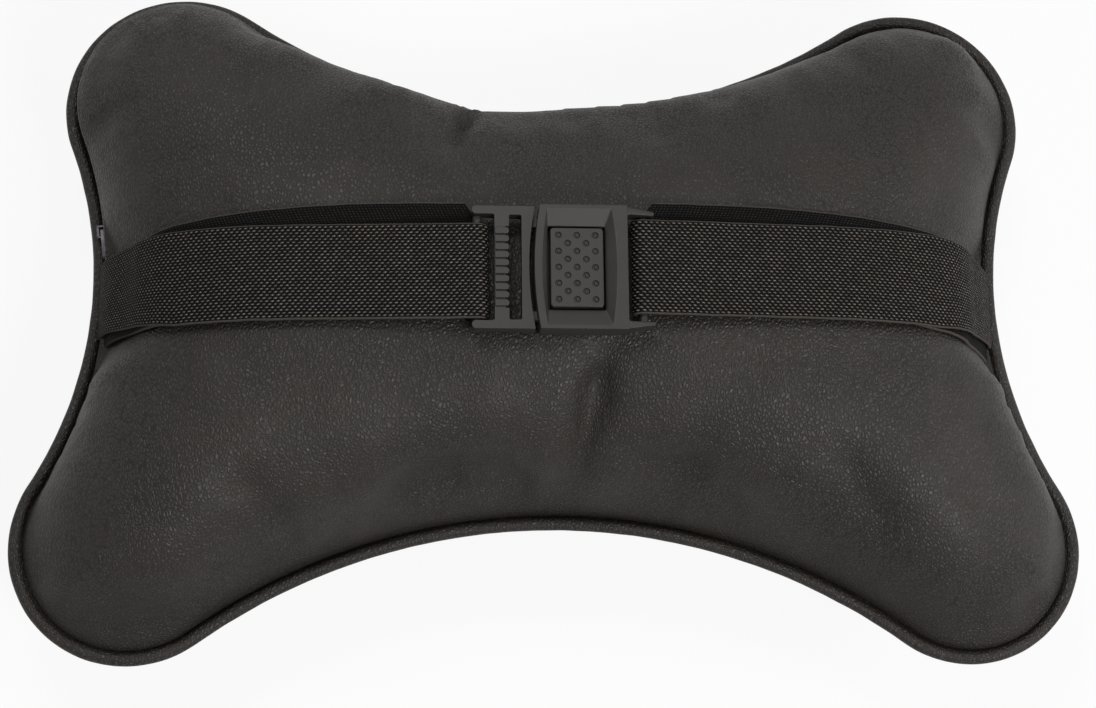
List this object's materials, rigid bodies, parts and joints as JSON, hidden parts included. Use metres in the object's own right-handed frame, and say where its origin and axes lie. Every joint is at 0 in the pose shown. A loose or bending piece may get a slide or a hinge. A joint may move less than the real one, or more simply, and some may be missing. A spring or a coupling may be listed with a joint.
{
  "type": "car neck pillow",
  "caption": "Bone-shaped car neck pillow in black leatherette with piping, a doubled elastic headrest strap, a centre-release buckle and a zip, lying strap side up.",
  "frame": {"origin": "centre of the bounding box in X and Y, on the surface that the head side rests on", "axes": "+X along the pillow's width, +Y towards its upper edge in use, +Z from the head side to the strap side"},
  "size_m": [0.2876, 0.1847, 0.0844],
  "materials": {
    "leatherette": "black pebble-grained synthetic leather, semi-matt",
    "liner_cloth": "off-white nonwoven liner",
    "elastic_webbing": "black woven elastic, 25 mm",
    "moulded_acetal": "dark grey acetal, fine moulded texture",
    "zip_tape": "black twill tape",
    "nylon_coil": "black nylon coil",
    "gunmetal_plated_zinc": "dark gunmetal plating on die-cast zinc"
  },
  "bodies": {
    "pillow": {"buckle_socket": "moulded_acetal", "buckle_tongue": "moulded_acetal", "elastic_strap_left": "elastic_webbing", "elastic_strap_right": "elastic_webbing", "front_panel": "leatherette", "inner_pillow": "liner_cloth", "piping": "leatherette", "rear_panel": "leatherette", "zip_bottom_stop": "gunmetal_plated_zinc", "zip_chain": "nylon_coil", "zip_slider": "gunmetal_plated_zinc", "zip_tape_lower": "zip_tape", "zip_tape_upper": "zip_tape", "zip_top_stop": "gunmetal_plated_zinc"},
    "plate": {"push_plate": "moulded_acetal"},
    "pull": {"zip_pull": "gunmetal_plated_zinc"}
  },
  "joints": [
    {"name": "plate_press", "type": "slide", "parent": "pillow", "child": "plate", "axis": [0, 0, -1], "range_m": [0, 0.0015], "stiffness_N_per_m": 700},
    {"name": "zip_pull_swing", "type": "hinge", "parent": "pillow", "child": "pull", "pos_m": [-0.122, 0.02417, 0.0379], "axis": [0, 0, -1], "range_deg": [0, 90]}
  ]
}
